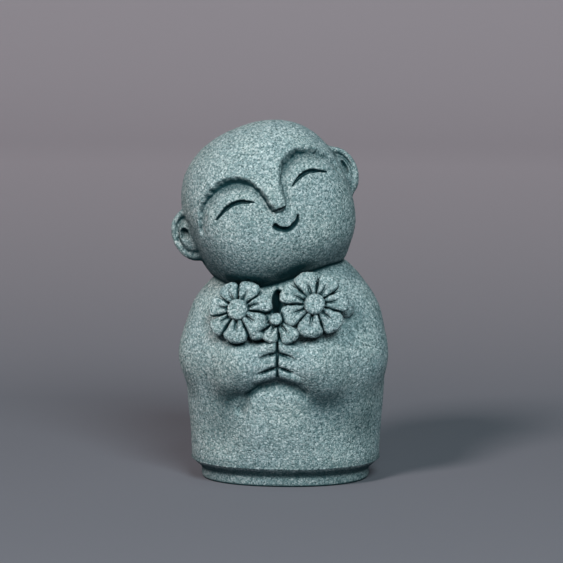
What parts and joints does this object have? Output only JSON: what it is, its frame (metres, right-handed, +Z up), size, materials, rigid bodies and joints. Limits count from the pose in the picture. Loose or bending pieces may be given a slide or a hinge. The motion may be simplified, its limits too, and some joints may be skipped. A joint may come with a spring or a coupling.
{
  "type": "stone jizo statue",
  "caption": "Small cast-stone jizo figure: a smiling child monk with a tilted round head, holding flowers, on a low plinth that rests on a flat underside.",
  "frame": {"origin": "centre of the plinth's flat underside", "axes": "+Z up, the figure faces -Y, +X to the right of a viewer who faces it"},
  "size_m": [0.0722, 0.0606, 0.1207],
  "materials": {
    "stone": "matt, fine-grained cast sandstone, blue-green grey with light and dark grains"
  },
  "bodies": {
    "root": {"statue": "stone"}
  },
  "joints": []
}
